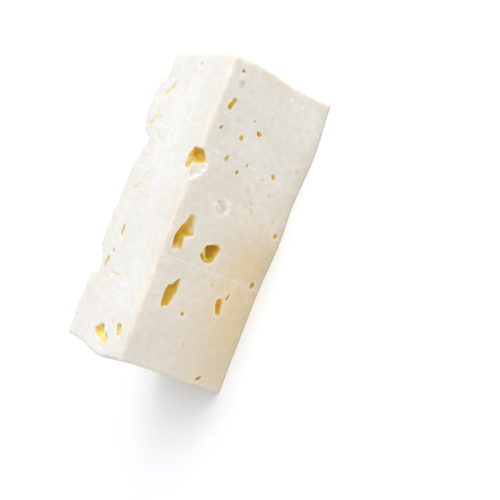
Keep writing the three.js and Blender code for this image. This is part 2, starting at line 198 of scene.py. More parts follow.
# small eyes in each face, as along, down or inward, length, width and turn in degrees
smallEyes = {
    "front": [
        (51, 4.9, 1.6, 1.5, 0), (31.9, 4.7, 1.8, 1.5, 20), (31.3, 13.7, 2, 1.7, 40), (34.9, 20, 1.9, 2.9, 10),
        (38, 16.4, 2.2, 1, 20), (22.6, 11.1, 2.6, 1.5, 0), (19.6, 16.9, 1.7, 1.6, 0),
        (23.2, 19.7, 2, 1.1, 30), (23.3, 31.3, 2.6, 1.6, -20), (3.9, 40.2, 2.2, 1.8, 0),
        (-15, 39.4, 2.6, 1.9, 0), (-52, 32.4, 4.6, 1.4, 40), (-32.7, 16.8, 1.7, 1.8, 0), (-22, 31.6, 4, 1, 12),
    ],
    "top": [
        (50.3, 21.5, 2, 1.3, 10), (-13, 31.4, 5.2, 2, 10), (-25.2, 34.2, 4, 2, -8),
        (-20.9, 32.5, 1.6, 1.6, 0),
    ],
}

smallEye = {
    "seed": 7,
    "sides": 6, "slip": 0.5,              # corners, and how far one may slip round, as a share of a side
    "reach": 0.34, "moreReach": 0.32,     # how far out the corners lie, as shares of the eye's size
    "leastDepth": 0.4, "depth": 0.5,      # the depth it starts from, and the share of its width added to that
    "margin": 5,                          # kept free along the edges of a hidden face
    "slimmest": 0.4, "plumper": 0.4,      # how wide a scattered eye is, as shares of its length
}

# the faces out of sight get eyes by a rule
hiddenEyes = {
    "back": {"count": 7, "shortest": 2, "longest": 7},
    "bottom": {"count": 5, "shortest": 1.8, "longest": 6},
    "highEnd": {"count": 4, "shortest": 1.6, "longest": 5},
    "lowEnd": {"count": 4, "shortest": 1.6, "longest": 5},
}

# curd that broke away; the curd it left showing is painted paler, partly as a highlight
breaks = [
    {   # the two notches in the broken edge
        "face": "top", "depth": 8, "mouth": 4,
        "outline": [(25, 50), (23.4, 43), (21.6, 37.8), (19.6, 38.6), (16.4, 41), (8, 44.6), (7, 50)],
    },
    {
        "face": "top", "depth": 9, "mouth": 4,
        "outline": [(-18, 50), (-21.6, 42.4), (-23.6, 38.6), (-28.4, 37), (-30.2, 38.2), (-31.2, 43),
                    (-32, 50)],
    },
    {   # the ledge under the eye in the crisp edge
        "face": "front", "depth": 1.5, "tilt": (0.12, -0.3), "slope": 0.1, "floor": 0.8,
        "outline": [(20.9, -1.5), (20.8, 2.6), (19.6, 3.4), (19.2, 4.9), (17.9, 4.3), (16.6, 5), (15.6, 3.7),
                    (14.4, 4.3), (13.6, 2.4), (12.4, 2), (11.8, 0.4), (12.4, -1.5)],
    },
    {   # a shallow crater
        "face": "front", "depth": 0.6, "tilt": (0.05, -0.05), "slope": 0.2, "floor": 0.55,
        "outline": [(9.5, 15.5), (8.9, 17.4), (7.5, 19.4), (5.7, 19.8), (3.9, 18.9), (2.5, 16.4), (4.1, 15.1),
                    (5.8, 13.4), (7.3, 12.9), (8.8, 13.8)],
    },
]

# small chips out of the edges: where, and their half sizes
chips = [
    {"at": (-26.5, -0.2, -0.4), "size": (1.6, 1.1, 1.3)},
    {"at": (46.8, -0.2, 6.2), "size": (1.7, 1.3, 1.5)},
    {"at": (56, 46, 20), "size": (3, 4, 6)},
    {"at": (-56.4, 47, 10), "size": (3.4, 4, 7)},
    {"at": (-38, 48, 44), "size": (9, 4, 4)},
    {"at": (30, 48.5, 45), "size": (12, 5, 3.5)},
    {"at": (57, 3, 45), "size": (3, 4, 2.6)},
    {"at": (-2, 49, 22), "size": (10, 4.2, 7)},
]
chipFill = 0.88    # the share of its half sizes that a chip's ball fills

wordMask = 0xFFFFFFFF    # keeps a whole number to 32 bits


def seededDraw(seed):
    # the same numbers from 0 to 1 at every run
    state = seed
    while True:
        state = (state + 0x6D2B79F5) & wordMask
        mixed = ((state ^ (state >> 15)) * (1 | state)) & wordMask
        mixed = ((mixed + (((mixed ^ (mixed >> 7)) * (61 | mixed)) & wordMask)) ^ mixed) & wordMask
        yield ((mixed ^ (mixed >> 14)) & wordMask) / 2**32


def newObject(name, bm):
    mesh = bpy.data.meshes.new(name)
    bm.to_mesh(mesh)
    bm.free()
    made = bpy.data.objects.new(name, mesh)
    scene.collection.objects.link(made)
    return made


def finishedMesh(source):
    # the object's mesh with its modifiers applied
    graph = bpy.context.evaluated_depsgraph_get()
    return bpy.data.meshes.new_from_object(source.evaluated_get(graph))


def roundEdges(bm, edges, offset, segments):
    bmesh.ops.bevel(
        bm, geom=edges, offset=offset, segments=segments, affect="EDGES", profile=0.5, material=-1
    )


def makeBlank():
    # the bar before anything is cut from it; the edges of its underside stay square
    bm = bmesh.new()
    bmesh.ops.create_cube(bm, size=1)
    bmesh.ops.scale(bm, verts=bm.verts, vec=(bar["length"], bar["depth"], bar["height"]))
    bmesh.ops.translate(bm, verts=bm.verts, vec=place(0, bar["depth"] / 2, bar["height"] / 2))
    middle = bar["height"] / 2
    broken = [e for e in bm.edges if all(v.co.y > 0 and v.co.z > middle for v in e.verts)]
    roundEdges(bm, broken, bar["brokenEdge"], bar["brokenSteps"])
    sharp = [e for e in bm.edges if e.calc_face_angle() > math.radians(bar["sharp"])]
    upper = [e for e in sharp if any(v.co.z > middle for v in e.verts)]
    roundEdges(bm, upper, bar["cutEdge"], bar["cutSteps"])
    return newObject("blank", bm)


def makeHollow(hollow, collection, steps=5, crispness=2):
    # a closed form with the outline as its mouth, narrowing to a rounded floor
    hollow = plainHollow | hollow
    u, v, w, origin = faces[hollow["face"]]
    outline = hollow["outline"]
    lean = Vector(hollow["lean"]).to_3d()
    tilt = Vector(hollow["tilt"]).to_3d()
    centre = sum((Vector(point).to_3d() for point in outline), Vector()) / len(outline)
    bm = bmesh.new()
    cap = bm.faces.new([bm.verts.new((a, b, -hollow["mouth"])) for a, b in outline])
    width, shift, level = 1, Vector(), -hollow["mouth"]
    rings = []
    for step in range(steps + 1):
        share = step / steps
        made = bmesh.ops.extrude_face_region(bm, geom=[cap, *cap.edges])["geom"]
        ring = [part for part in made if isinstance(part, bmesh.types.BMVert)]
        cap = next(part for part in made if isinstance(part, bmesh.types.BMFace))
        closing = (1 - hollow["slope"] - hollow["floor"]) * share ** hollow["bend"]
        newWidth = 1 - hollow["slope"] * share - closing
        newLevel = hollow["depth"] * share ** hollow["plunge"]
        pivot = Matrix.Translation(-(centre + shift))
        bmesh.ops.scale(bm, verts=ring, vec=(newWidth / width, newWidth / width, 1), space=pivot)
        bmesh.ops.translate(bm, verts=ring, vec=lean * share - shift + Vector((0, 0, newLevel - level)))
        width, shift, level = newWidth, lean * share, newLevel
        rings.append((ring, share))
    for ring, share in rings:
        for corner in ring:
            corner.co.z += share * tilt.dot(corner.co - centre - lean * share)
    turn = Matrix((u, v, w)).transposed().to_4x4()
    start = origin + u * hollow["middle"]
    bmesh.ops.transform(bm, verts=bm.verts, matrix=Matrix.Translation(start) @ turn)
    bmesh.ops.triangulate(bm, faces=[face for face in bm.faces if len(face.verts) > 4])
    bmesh.ops.recalc_face_normals(bm, faces=bm.faces)
    cutter = newObject("hollow", bm)
    straight = cutter.modifiers.new("straight", "SUBSURF")
    straight.subdivision_type = "SIMPLE"
    straight.levels = straight.render_levels = crispness
    softened = cutter.modifiers.new("softened", "SUBSURF")
    softened.levels = softened.render_levels = 1
    collection.objects.link(cutter)
    return cutter


def smallHollow(face, u, v, longWay, shortWay, turn, draw):
    # an uneven little eye
    points = []
    for n in range(smallEye["sides"]):
        angle = (n + smallEye["slip"] * next(draw)) / smallEye["sides"] * 2 * math.pi
        stretch = smallEye["reach"] + smallEye["moreReach"] * next(draw)
        a, b = math.cos(angle) * longWay * stretch, math.sin(angle) * shortWay * stretch
        turned = Matrix.Rotation(math.radians(turn), 2) @ Vector((a, b))
        points.append((u + turned.x, v + turned.y))
    depth = smallEye["leastDepth"] + smallEye["depth"] * shortWay
    return {"face": face, "outline": points, "depth": depth}


def scatteredHollows(face, rule, draw):
    # eyes over a hidden face, clear of its edges and of each other
    isEnd = face.endswith("End")
    margin = smallEye["margin"]
    width = bar["depth"] if isEnd else bar["length"]
    startU = margin if isEnd else margin - halfLength
    placed = []
    while len(placed) < rule["count"]:
        longWay = rule["shortest"] + (rule["longest"] - rule["shortest"]) * next(draw) ** 2
        u = startU + (width - 2 * margin) * next(draw)
        v = margin + (bar["height"] - 2 * margin) * next(draw)
        turn = 180 * next(draw)
        if all(math.hypot(other[0] - u, other[1] - v) > other[2] + longWay for other in placed):
            plumpness = smallEye["slimmest"] + smallEye["plumper"] * next(draw)
            placed.append((u, v, longWay, longWay * plumpness, turn))
    return [smallHollow(face, *eye, draw) for eye in placed]


def makeChip(chip, collection):
    bm = bmesh.new()
    bmesh.ops.create_icosphere(bm, subdivisions=3, radius=chipFill)
    bmesh.ops.scale(bm, verts=bm.verts, vec=chip["size"])
    bmesh.ops.translate(bm, verts=bm.verts, vec=place(*chip["at"]))
    collection.objects.link(newObject("chip", bm))


def cutWith(target, name, collection):
    cut = target.modifiers.new(name, "BOOLEAN")
    cut.operation = "DIFFERENCE"
    cut.operand_type = "COLLECTION"
    cut.collection = collection
    cut.solver = "EXACT"


def carveBar():
    # the bar with its eyes, and the same bar without them, to measure their depth from
    chipCutters = bpy.data.collections.new("chipCutters")
    eyeCutters = bpy.data.collections.new("eyeCutters")
    draw = seededDraw(smallEye["seed"])
    for eye in eyes:
        makeHollow(eye, eyeCutters)
    small = [smallHollow(face, *sizes, draw) for face, group in smallEyes.items() for sizes in group]
    for face, rule in hiddenEyes.items():
        small += scatteredHollows(face, rule, draw)
    for eye in small:
        makeHollow(eye, eyeCutters, steps=3, crispness=1)
    for piece in breaks:
        makeHollow(piece, chipCutters)
    for chip in chips:
        makeChip(chip, chipCutters)
    blank = makeBlank()
    cutWith(blank, "chips", chipCutters)
    whole = finishedMesh(blank)
    cutWith(blank, "eyes", eyeCutters)
    grain = blank.modifiers.new("grain", "REMESH")
    grain.mode = "VOXEL"
    grain.voxel_size = bar["voxel"]
    carved = finishedMesh(blank)
    for cutter in [*chipCutters.objects, *eyeCutters.objects, blank]:
        bpy.data.objects.remove(cutter)
    for collection in (chipCutters, eyeCutters):
        bpy.data.collections.remove(collection)
    return carved, whole


def ease(t):
    t = np.clip(t, 0, 1)
    return t * t * (3 - 2 * t)


def latticeValue(cells):
    # a fixed number from 0 to 1 for each corner of a cubic lattice
    mixed = (cells * (374761393, 668265263, 1274126177)).sum(axis=1) & wordMask
    mixed = ((mixed ^ (mixed >> 13)) * 1103515245) & wordMask
    return (mixed ^ (mixed >> 16)) / 2**32


def lumps(points, size):
    # smooth noise from 0 to 1 whose lumps are about size millimetres across
    scaled = points / size
    base = np.floor(scaled)
    part = ease(scaled - base)
    base = base.astype(np.int64)
    total = np.zeros(len(points))
    for corner in itertools.product((0, 1), repeat=3):
        weight = np.abs(1 - np.array(corner) - part).prod(axis=1)
        total += weight * latticeValue(base + corner)
    return total


def grains(points, size):
    # 0 in the middle of each grain of curd, rising towards 1 in the clefts between grains
    scaled = points / size
    base = np.floor(scaled).astype(np.int64)
    nearest = np.ones(len(points))
    for corner in itertools.product((-1, 0, 1), repeat=3):
        cell = base + corner
        middle = cell + np.stack([latticeValue(cell + 57 * (axis + 1)) for axis in range(3)], axis=1)
        nearest = np.minimum(nearest, ((scaled - middle) ** 2).sum(axis=1))
    return nearest


goldAndPaintedLight = {
    "rays": 16, "reach": 14,       # rays cast from each point in an eye, and how far they look
    "clear": 0.2,                  # how far off the surface they start
    "rounds": 8,                   # smoothing of the result
    "least": 0.1, "most": 0.55,    # shares of the sky hidden, where the gold with its painted shade starts and where it is full
    "rim": 0.5,                    # millimetres over which it starts below the rim
}


def treeOf(mesh):
    bm = bmesh.new()
    bm.from_mesh(mesh)
    tree = BVHTree.FromBMesh(bm)
    bm.free()
    return tree


def depthInEyes(points, whole):
    # how far each point lies under the surface that the bar had before its eyes
    tree = treeOf(whole)
    distances = [tree.find_nearest(point)[3] for point in points.tolist()]
    return np.maximum(0, np.array(distances) - 0.5 * bar["voxel"])


def smoothed(mesh, values, rounds):
    # each value becomes the mean of itself and its neighbours
    ends = np.empty(len(mesh.edges) * 2, dtype=np.int32)
    mesh.edges.foreach_get("vertices", ends)
    a, b = ends.reshape(-1, 2).T
    count = len(values)
    share = 1 + np.bincount(a, minlength=count) + np.bincount(b, minlength=count)
    for _ in range(rounds):
        values = (values + np.bincount(a, values[b], count) + np.bincount(b, values[a], count)) / share
    return values


def goldAndPaintedLightInEyes(carved, points, normals, eyeDepth):
    # how golden each point is, from how much of the sky over it the walls of its eye hide; partly the curd's
    # own gold, partly painted shade and bounce light in the hollow
    tree = treeOf(carved)
    ways = []
    for ray in range(goldAndPaintedLight["rays"]):
        spread = math.sqrt((ray + 0.5) / goldAndPaintedLight["rays"])
        turn = ray * math.pi * (3 - math.sqrt(5))
        ways.append(Vector((spread * math.cos(turn), spread * math.sin(turn), math.sqrt(1 - spread**2))))
    hidden = np.zeros(len(points))
    for n in np.flatnonzero(eyeDepth > inEye["goldAndPaintedLight"]).tolist():
        outward = Vector(normals[n])
        turned = outward.to_track_quat("Z", "Y")
        start = Vector(points[n]) + goldAndPaintedLight["clear"] * outward
        hits = sum(tree.ray_cast(start, turned @ way, goldAndPaintedLight["reach"])[0] is not None for way in ways)
        hidden[n] = hits / goldAndPaintedLight["rays"]
    hidden = smoothed(carved, hidden, goldAndPaintedLight["rounds"])
    return ease((hidden - goldAndPaintedLight["least"]) / (goldAndPaintedLight["most"] - goldAndPaintedLight["least"])) * ease(eyeDepth / goldAndPaintedLight["rim"])


# unevenness of the cut faces and of the broken back: its depth, the sizes of its wide and narrow lumps,
# and the share that the narrow ones have
relief = {
    "cut": (0.22, 11, 5, 0.4),
    "broken": (1.3, 9, 4.6, 0.6),
    "reach": 7,             # how far in from a face its unevenness is felt
    "brokenReach": 9,       # how far from the broken edge the top is broken too
    "brokenShare": 0.35,    # and how much, at the edge itself
}

# marks left by the mould's cloth across the front; on the low side of each the face stands a little prouder
pressMarks = [
    {"along": 23.5, "step": 0.16},
    {"along": 20.4, "step": 0.1},
    {"along": -17.2, "step": 0.16},
]
pressEdge = {"width": 0.5, "low": 6, "high": 4}    # how wide a mark is, and how it fades at both ends

# smooth swells, and one dent, where the bar stands out from a true box
swells = [
    {"at": (40, 46, 3), "push": (0, 4.6, 0), "reach": (4.5, 9, 12)},
    {"at": (34, 46, 3), "push": (0, 3.2, 0), "reach": (4.5, 9, 12)},
    {"at": (28.5, 46, 3), "push": (0, 3.4, 0), "reach": (4.5, 9, 10)},
    {"at": (51, 46, 2), "push": (0, -1.6, 0), "reach": (6, 9, 9)},
    {"at": (-16, 46, 3), "push": (0, 1.2, 0), "reach": (9, 9, 9)},
    {"at": (55, 2, 11), "push": (2.1, 0, 0), "reach": (12, 12, 12)},
    {"at": (55, 10, 0), "push": (1.5, 0, 0), "reach": (9, 8, 8)},
    {"at": (55, 24, 2), "push": (1.4, 0, 0), "reach": (13, 13, 13)},
    {"at": (-55, 17, 2), "push": (-2.1, 0, 0), "reach": (10, 10, 10)},
    {"at": (36, 0, 42), "push": (0, -2.6, 0), "reach": (16, 10, 10)},
    {"at": (2, 0, 43), "push": (0, -1.9, 0), "reach": (12, 12, 12)},
]


def onPlane(points, axis, value):
    flat = points.copy()
    flat[:, axis] = value
    return flat


def nearBrokenEdge(points):
    fromBack = bar["frontY"] + bar["depth"] - points[:, 1]
    fromTop = bar["height"] - points[:, 2]
    return 1 - ease(np.hypot(fromBack, fromTop) / relief["brokenReach"])


def roughen(points):
    # the unevenness of each face, carried a few millimetres into the bar so that a face moves with its edges
    def depthOf(distance):
        return 1 - ease(distance / relief["reach"])

    def uneven(kind, at):
        depth, wide, narrow, share = relief[kind]
        return depth * (lumps(at, wide) + share * lumps(at, narrow))

    x, y, z = points.T
    side = np.sign(x)
    backY = bar["frontY"] + bar["depth"]
    fromTop = bar["height"] - z
    onTop = onPlane(points, 2, bar["height"])
    press = sum(mark["step"] * ease((mark["along"] - x) / pressEdge["width"] + 0.5) for mark in pressMarks)
    pressed = press * ease(z / pressEdge["low"]) * ease(fromTop / pressEdge["high"])
    frontDepth = uneven("cut", onPlane(points, 1, bar["frontY"])) - pressed
    backDepth = uneven("broken", onPlane(points, 1, backY))
    brokenShare = relief["brokenShare"] * nearBrokenEdge(points)
    topDepth = uneven("cut", onTop) * (1 - brokenShare) + uneven("broken", onTop) * brokenShare
    endDepth = uneven("cut", onPlane(points, 0, side * halfLength))
    moved = points.copy()
    moved[:, 0] -= side * endDepth * depthOf(halfLength - np.abs(x))
    moved[:, 1] += frontDepth * depthOf(y - bar["frontY"]) - backDepth * depthOf(backY - y)
    moved[:, 2] -= topDepth * depthOf(fromTop)
    return moved


def swell(points):
    moved = points.copy()
    for bulge in swells:
        away = (points - np.array(place(*bulge["at"]))) / bulge["reach"]
        moved += np.exp(-(away**2).sum(axis=1))[:, None] * np.array(bulge["push"])
    return moved


# small marks in each face, as along, down or inward, length, width, turn and depth; below zero, crumbs
marks = {
    "front": [
        (28, 38.8, 1.4, 1.2, 0, 0.5), (20.5, 27.6, 1.6, 1.1, 20, 0.5), (15.3, 23.7, 2, 1.3, 50, 0.4),
        (11.9, 26.7, 1.4, 1.1, 0, 0.5), (9, 28, 1.6, 1.2, 30, 0.5), (16.2, 32.4, 1.3, 1.1, 0, 0.5),
        (8, 37.1, 1.4, 1.1, 0, 0.5), (1.1, 34.4, 1.8, 0.8, 60, 0.35), (46, 11.3, 1.4, 1.2, 0, 0.25),
        (36.1, 9.7, 1.5, 1.2, 20, 0.3), (-15.5, 20.7, 1.4, 1.1, 0, 0.35), (-18.2, 19.3, 1.2, 1, 0, 0.3),
        (-19.8, 23.5, 1.2, 1, 0, 0.35), (-42.7, 21.7, 1.3, 1.1, 0, 0.35), (-39.7, 31.7, 1.2, 1, 0, 0.35),
        (41, 23, 1.2, 1, 0, 0.25), (25, 26.5, 1.2, 0.9, 40, 0.3),
        (50.1, 27.4, 1.7, 1.4, 30, -0.4), (49.1, 32.5, 1.5, 1.1, 0, -0.3), (42.6, 41.2, 1.4, 1, 0, -0.3),
        (37.8, 29.6, 1.3, 1, 0, -0.22), (48.9, 4.6, 1.8, 0.8, 50, -0.25), (36.7, 4.2, 1.6, 1, 60, -0.3),
        (6.7, 13.8, 2.6, 1.5, 75, -0.9), (6.3, 15.5, 1.6, 1.1, 0, -0.5), (-26.5, 0.5, 2.4, 0.9, 0, -0.4),
        (-33.4, 6.4, 2.4, 0.9, 20, -0.25),
    ],
    "top": [
        (54.3, 13.7, 1.6, 1, 30, 0.25), (32, 13, 3, 0.9, 20, 0.15), (-4.1, 2, 1, 0.9, 0, 0.3),
        (-27.5, 18.2, 1.4, 1.1, 0, 0.3), (-35.5, 32.7, 2.8, 1, 60, 0.42), (-43.4, 14, 1.8, 1.3, 0, 0.5),
        (-51.7, 15.8, 3.4, 1.1, 75, 0.4), (12, 37, 2, 0.9, 30, 0.25), (-5, 40, 2.6, 0.9, 10, 0.3),
        (-30.6, 29.9, 1.5, 1.2, 0, 0.42), (22.6, 31.2, 1.8, 1.4, 0, 0.4), (23.8, 33.6, 2, 1.2, 40, 0.35),
        (24.7, 29.8, 2.2, 1, 0, 0.35), (37.5, 40.3, 2, 1.4, 20, 0.4), (2.1, 31, 1.8, 1.2, 0, 0.35),
        (0.9, 23.2, 1.6, 1.2, 0, 0.35),
    ],
}

# cracks in each face, as a line of [along, down] or [along, inward], its width and its depth;
# below zero, raised flakes
cracks = {
    "front": [
        ([(9.1, 15.6), (8.4, 18), (6.7, 19.2), (5.1, 19)], 0.75, -0.75),
        ([(7.9, 15.2), (7.2, 17), (6, 17.8)], 0.7, 0.5),
        ([(4, 18), (3.2, 17)], 0.5, -0.4),
    ],
    "top": [
        ([(9.6, 29.2), (8, 29.8), (6.3, 29.7), (4.4, 31.8), (2.9, 36)], 0.5, 0.45),
        ([(-28.1, 28.8), (-28.4, 25), (-28.1, 22.6)], 0.45, 0.42),
        ([(46, 38), (43, 41.5), (38.5, 42.4), (36, 45)], 0.4, 0.35),
        ([(43.2, 33.6), (41, 35), (39, 36.6)], 0.7, 0.55),
        ([(30.1, 36), (27.4, 39), (25.3, 40)], 0.8, 0.65),
        ([(27.4, 39), (26.4, 42)], 0.7, 0.45),
        ([(33.6, 39.5), (30.4, 36.5)], 0.45, 0.35),
        ([(34.1, 34.6), (32.1, 35.6)], 0.45, 0.35),
        ([(18.5, 34.5), (16, 34.2), (15, 35.8)], 0.45, 0.35),
        ([(-6, 37.5), (-11, 40.5), (-17, 41)], 0.35, 0.3),
        ([(-33, 36.5), (-38, 39), (-42.5, 38)], 0.35, 0.3),
    ],
}

markLook = {
    "ragged": 0.9, "raggedSize": 0.9,              # how uneven the outline of a mark is
    "falloff": 1.5,                                # above 1, a mark has a flatter middle and a crisper edge
    "goldAndShadeFrom": 0.2, "goldAndPaintedLight": 1.7,                  # depth from which a mark is golden, with painted shade, and how quickly
    "wobble": 1.2, "wobbleSize": 1.3,              # how far a crack strays from its line
    "least": 0.4, "more": 0.9, "moreSize": 2.6,    # how strong cracks and threads are, here and there
    # flakes and threads are painted paler, a painted highlight where they catch the light
    "crackGoldAndShade": 0.9, "flakeHighlight": 2, "threadHighlight": 2.4,
}

# thin ridges that the mould's cloth left, beside the press marks; each drifts as it goes down the front
threads = [
    {"along": 23.7, "drift": -0.05, "height": 0.2},
    {"along": 21.2, "drift": -0.02, "height": 0.13},
    {"along": 9, "drift": -0.02, "height": 0.07},
    {"along": -15.9, "drift": -0.01, "height": 0.17},
]
threadWidth = 0.42

skin = {
    "plain": ((2.2, 0.07), (1.0, 0.045)),     # size and depth of the cut curd's own texture
    "wall": 0.3, "wallSize": 1.6,             # unevenness inside the eyes
    "wallFull": 0.8,                          # and the depth from which that is full
    "ragged": ((1.8, 0.7), (0.8, 0.3)),       # size and strength of the waviness of their outlines
    "grains": ((4.6, 0.95), (2.1, 0.5), (0.95, 0.22)),   # size and depth of the grains in broken curd
    "flaky": 0.65,                            # how much of that the top shows beside its broken edge
    "crevice": 0.5,                           # gold with painted shade in the clefts between the largest grains
    "cleft": 0.35, "cleftOver": 0.4,          # shares of a grain's depth over which a cleft begins
}

# where curd broke or fell away
torn = {
    "under": 0.12, "over": 0.4,          # depths under the bar's faces, over which it counts as fallen away
    "back": 1.5,                         # how far in from the back it is broken
    "grain": 0.6, "moreGrain": 0.4,      # its grain near the front face, and what is added further in
    "inward": 15, "inwardOver": 5,       # from here on
    "paleAndHighlight": 0.4,                         # how pale it is near the front face: paler curd, partly a painted highlight
    "paleTo": 12, "paleOver": 5,         # up to here
    "turned": 0.93, "turnedOver": 0.12,  # and only where it doesn't face the front squarely
}

# wear of the crisp edges
wear = {
    "depth": 0.65, "width": 0.9,
    "least": 0.1,                        # the share of it that is everywhere
    "broad": 0.7, "broadSize": 4.5,      # and the shares that come and go
    "narrow": 0.3, "narrowSize": 1.7,
    "full": 4,                           # height above the underside from which it is full
}

# how squarely a point's normal lies to a face it belongs to, and how far under that it may lie
facingLimits = {"from": 0.5, "over": 0.3, "under": 1.5}


def onFace(face, points, normals):
    # each point's place on a face, and from 0 to 1 how much it belongs to it
    u, v, w, origin = (np.array(part) for part in faces[face])
    away = points - origin
    squareness = ease((-normals @ w - facingLimits["from"]) / facingLimits["over"])
    return away @ u, away @ v, squareness * ease(facingLimits["under"] - away @ w)


def lineDistance(u, v, line):
    nearest = np.full(len(u), np.inf)
    for (a, b), (c, d) in itertools.pairwise(line):
        share = np.clip(((u - a) * (c - a) + (v - b) * (d - b)) / ((c - a) ** 2 + (d - b) ** 2), 0, 1)
        nearest = np.minimum(nearest, np.hypot(u - a - share * (c - a), v - b - share * (d - b)))
    return nearest


def smallMarks(points, normals):
    # how far the marks, cracks and threads go below the surface, how golden they are, with painted shade, and
    # how pale, with a painted highlight
    below, goldenAndShaded, paleAndHighlight = np.zeros((3, len(points)))
    placed = {face: onFace(face, points, normals) for face in marks}
    ragged = markLook["ragged"] * (lumps(points, markLook["raggedSize"]) - 0.5)
    wobble = markLook["wobble"] * (lumps(points, markLook["wobbleSize"]) - 0.5)
    uneven = markLook["least"] + markLook["more"] * lumps(points, markLook["moreSize"])
    for face, (u, v, facing) in placed.items():
        for a, b, length, width, turn, depth in marks[face]:
            cosine, sine = math.cos(math.radians(turn)), math.sin(math.radians(turn))
            long = ((u - a + ragged) * cosine + (v - b - ragged) * sine) * 2 / length
            short = ((v - b - ragged) * cosine - (u - a + ragged) * sine) * 2 / width
            shape = np.exp(-((long**2 + short**2) ** markLook["falloff"])) * facing
            below += depth * shape
            goldenAndShaded = np.maximum(goldenAndShaded, shape * max(0, depth - markLook["goldAndShadeFrom"]) * markLook["goldAndPaintedLight"])
            # crumbs are painted pale: partly whiter curd, partly a painted highlight
            paleAndHighlight = np.maximum(paleAndHighlight, shape * (depth < 0))
        for line, width, depth in cracks[face]:
            across = lineDistance(u + wobble, v + wobble, line) / width
            shape = np.exp(-(across**2)) * facing * uneven
            below += depth * shape
            goldenAndShaded = np.maximum(goldenAndShaded, markLook["crackGoldAndShade"] * shape * depth * (face == "top"))
            # raised flakes get a painted highlight
            paleAndHighlight = np.maximum(paleAndHighlight, -markLook["flakeHighlight"] * shape * depth)
    u, v, facing = placed["front"]
    for thread in threads:
        across = (u - thread["along"] - thread["drift"] * v) / threadWidth
        ridge = np.exp(-(across**2)) * facing * uneven
        below -= thread["height"] * ridge
        # a painted highlight along each ridge
        paleAndHighlight = np.maximum(paleAndHighlight, markLook["threadHighlight"] * thread["height"] * ridge)
    return below, goldenAndShaded, paleAndHighlight


def insetOf(points):
    # how far each point lies from the four faces that meet in crisp edges above the underside
    x, y, z = points.T
    inward = y - bar["frontY"]
    return np.stack([halfLength - np.abs(x), inward, bar["depth"] - inward, bar["height"] - z])


def fallenShare(points, eyeDepth):
    # 1 where curd fell away and left a notch, a chip or a ledge
    under = np.minimum(insetOf(points).min(axis=0), points[:, 2])
    return ease((under - torn["under"]) / torn["over"]) * (eyeDepth < inEye["grain"])


def wornEdges(points):
    # how far the crisp edges are worn back, unevenly, towards the inside of the bar
    near = np.exp(-((insetOf(points) / wear["width"]) ** 2))
    broad = wear["broad"] * ease(lumps(points, wear["broadSize"]))
    uneven = wear["least"] + broad + wear["narrow"] * lumps(points, wear["narrowSize"])
    worn = wear["depth"] * uneven * ease(points[:, 2] / wear["full"]) * np.sort(near, axis=0)[-2]
    endward, inward, outward, down = near * worn
    return np.stack([-np.sign(points[:, 0]) * endward, inward - outward, -down], axis=1)


def fineRelief(points, normals, eyeDepth):
    # how far the surface stands below its place, along its normal, and what that does to its colour: gold with
    # painted shade, and paleness with a painted highlight
    inward = points[:, 1] - bar["frontY"]
    fallen = fallenShare(points, eyeDepth)
    backward = ease(1 - (bar["depth"] - inward) / torn["back"])
    fallenGrain = torn["grain"] + torn["moreGrain"] * ease((inward - torn["inward"]) / torn["inwardOver"])
    flaky = skin["flaky"] * nearBrokenEdge(points) * (eyeDepth < inEye["grain"])
    broken = np.maximum(np.maximum(backward, fallen * fallenGrain), flaky)
    plain = sum(depth * lumps(points, size) for size, depth in skin["plain"])
    walls = skin["wall"] * (lumps(points, skin["wallSize"]) - 0.5) * ease(eyeDepth / skin["wallFull"])
    layers = [depth * grains(points, size) for size, depth in skin["grains"]]
    largestDepth = skin["grains"][0][1]
    clefts = ease((layers[0] / largestDepth - skin["cleft"]) / skin["cleftOver"])
    below, goldenAndShaded, paleAndHighlight = smallMarks(points, normals)
    below += plain + walls + broken * sum(layers)
    turnedAway = ease((torn["turned"] + normals[:, 1]) / torn["turnedOver"])
    palerAndLit = turnedAway * ease((torn["paleTo"] - inward) / torn["paleOver"])
    goldenAndShaded = np.maximum(goldenAndShaded, skin["crevice"] * broken * clefts)
    return below, goldenAndShaded, np.maximum(paleAndHighlight, torn["paleAndHighlight"] * fallen * palerAndLit)


def raggedShift(points, normals, eyeDepth):
    # sideways waviness, which leaves the flat faces flat
    shift = np.zeros(points.shape)
    for size, strength in skin["ragged"]:
        for axis in range(3):
            shift[:, axis] += strength * (lumps(points + 31 * (axis + 1), size) - 0.5)
    outward = (shift * normals).sum(axis=1) * (eyeDepth < inEye["rim"])
    return shift - normals * outward[:, None]


# painted warm bounce light and shade on the front face, as along and down, how far it reaches each way and how
# strong it is
paintedBouncePlaces = [
    {"at": (-16, 40), "reach": (18, 15), "share": 1.1},
    {"at": (-44, 40), "reach": (20, 20), "share": 0.6},
    {"at": (-5, 15), "reach": (45, 45), "share": 0.25},
    {"at": (56, 21), "reach": (4, 60), "share": 0.4},
    {"at": (20, 44), "reach": (40, 4), "share": 0.3},
]
paintedBounceEverywhere = 0.05
paintedBounceInward = 12    # how far in from the front face the painted bounce light and shade end


# painted warm bounce light and shade: its share at each point
def paintedBounceShare(points):
    share = np.full(len(points), paintedBounceEverywhere)
    down = bar["height"] - points[:, 2]
    for patch in paintedBouncePlaces:
        (a, b), (wide, high) = patch["at"], patch["reach"]
        share += patch["share"] * np.exp(-(((points[:, 0] - a) / wide) ** 2) - ((down - b) / high) ** 2)
    return np.clip(share, 0, 1) * ease(1 - (points[:, 1] - bar["frontY"]) / paintedBounceInward)


# the slightly raised curd round each eye, painted pale as a highlight of its rim: how wide it is, in rounds of
# smoothing, how pale and high, how soon it has its full height, and the rounds that soften its paleness
rim = {"rounds": 7, "paleAndHighlight": 1.7, "height": 0.12, "steepness": 2, "paleRounds": 3}
softening = {"rounds": 4, "start": 0.5, "over": 0.8}    # of the steps inside the eyes, from this depth on


